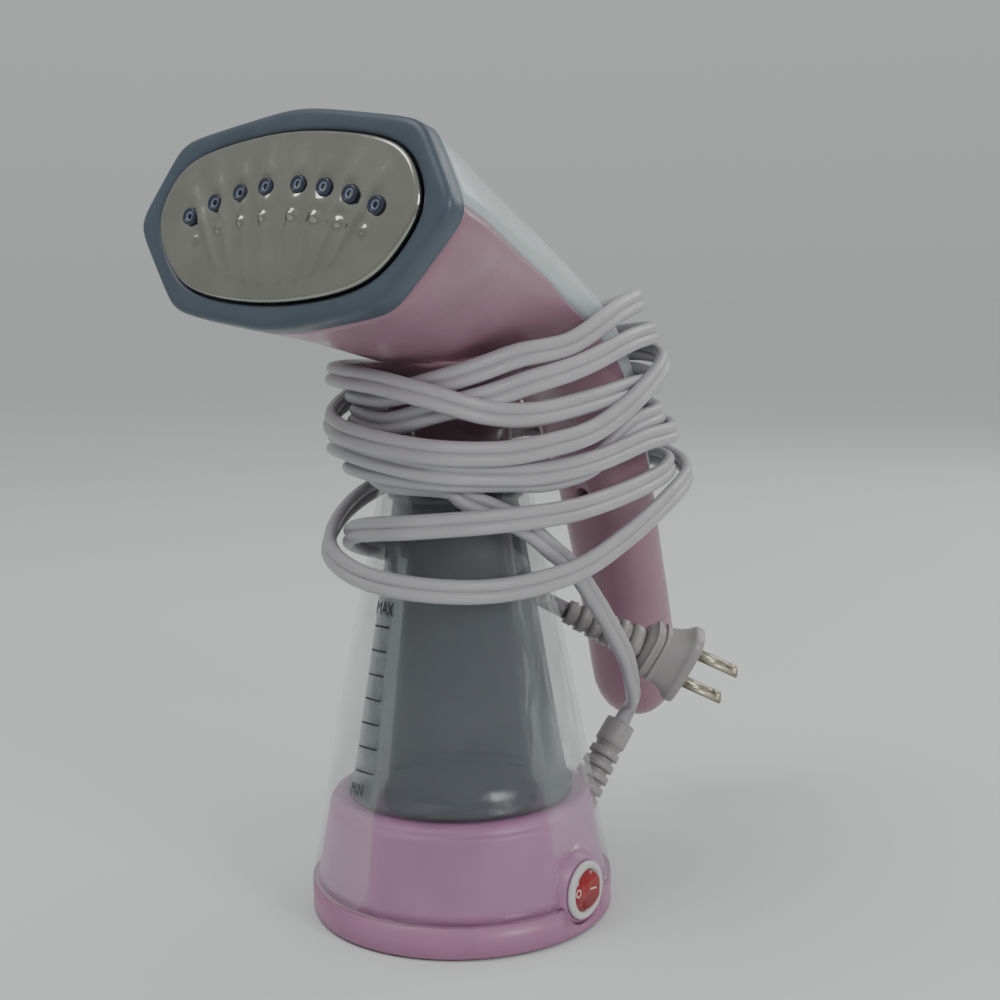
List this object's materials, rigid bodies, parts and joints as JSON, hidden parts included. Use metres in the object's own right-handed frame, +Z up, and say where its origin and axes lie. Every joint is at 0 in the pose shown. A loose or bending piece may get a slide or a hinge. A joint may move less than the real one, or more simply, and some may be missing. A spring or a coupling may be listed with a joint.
{
  "type": "garment steamer",
  "caption": "Upright handheld garment steamer with clear double-wall tank, tilted steam plate, rear handle and mains cord wound round its neck.",
  "frame": {"origin": "centre of the underside of the base, on the surface it stands on", "axes": "+Z up; -Y the way the steam plate faces; +Y towards the handle; +X the side with the mains switch"},
  "size_m": [0.1298, 0.2214, 0.2674],
  "materials": {
    "shell_pink": "satin moulded",
    "band_pink": "satin moulded",
    "plate_plastic": "matte moulded",
    "clear_plastic": "clear glossy",
    "smoke_plastic": "smoky translucent",
    "slate_plastic": "satin moulded",
    "cover_plastic": "satin milky",
    "collar_plastic": "satin moulded",
    "white_plastic": "satin moulded",
    "rocker_red": "glossy translucent",
    "plate_steel": "pressed stainless",
    "nozzle_dark": "satin",
    "seal_rubber": "matte",
    "feet_rubber": "matte",
    "boiler_metal": "cast",
    "heater_sheath": "heat-tinted",
    "switch_metal": "stamped",
    "thermostat_body": "ceramic-like",
    "fuse_body": "ceramic-like",
    "wire_cover": "sleeved",
    "screw_steel": "zinc-plated",
    "inner_plastic": "matte moulded",
    "cord_pvc": "soft satin",
    "plug_pvc": "soft satin",
    "blade_metal": "nickel-plated"
  },
  "bodies": {
    "root": {"base_ring": "band_pink", "base_plate": "plate_plastic", "rubber_feet": "feet_rubber", "base_screws": "screw_steel", "plinth": "shell_pink", "outer_shell": "clear_plastic", "inner_tank": "smoke_plastic", "tank_rim": "smoke_plastic", "tank_seal": "seal_rubber", "boiler_plate": "boiler_metal", "heating_element": "heater_sheath", "thermostat": "thermostat_body", "thermal_fuse": "fuse_body", "lead_wires": "wire_cover", "neck_collar": "collar_plastic", "switch_body": "white_plastic", "switch_terminals": "switch_metal", "strain_relief": "white_plastic", "cord_clamp": "inner_plastic", "clamp_screws": "screw_steel"},
    "rocker": {"switch_rocker": "rocker_red"},
    "head": {"head_shell": "shell_pink", "top_cover": "cover_plastic", "neck_spigot": "inner_plastic", "neck_seal": "seal_rubber", "steam_tube": "inner_plastic", "steam_chamber": "boiler_metal", "plate_gasket": "seal_rubber", "steam_plate": "plate_steel", "nozzle_tips": "nozzle_dark", "bezel": "slate_plastic", "shell_screws": "screw_steel", "water_baffle": "inner_plastic", "cord_wraps": "cord_pvc", "cord_loops": "cord_pvc", "cord_riser": "cord_pvc", "cord_tail": "cord_pvc", "plug_relief": "plug_pvc", "plug_body": "plug_pvc", "plug_blades": "blade_metal"}
  },
  "joints": [
    {"name": "head_lift", "type": "slide", "parent": "root", "child": "head", "axis": [0, 0, 1], "range_m": [0, 0.035], "deforming": ["cord_riser"]},
    {"name": "switch_rock", "type": "hinge", "parent": "root", "child": "rocker", "pos_m": [0.0487, 0, 0.015], "axis": [0, 0, 1], "range_deg": [0, 18]}
  ]
}
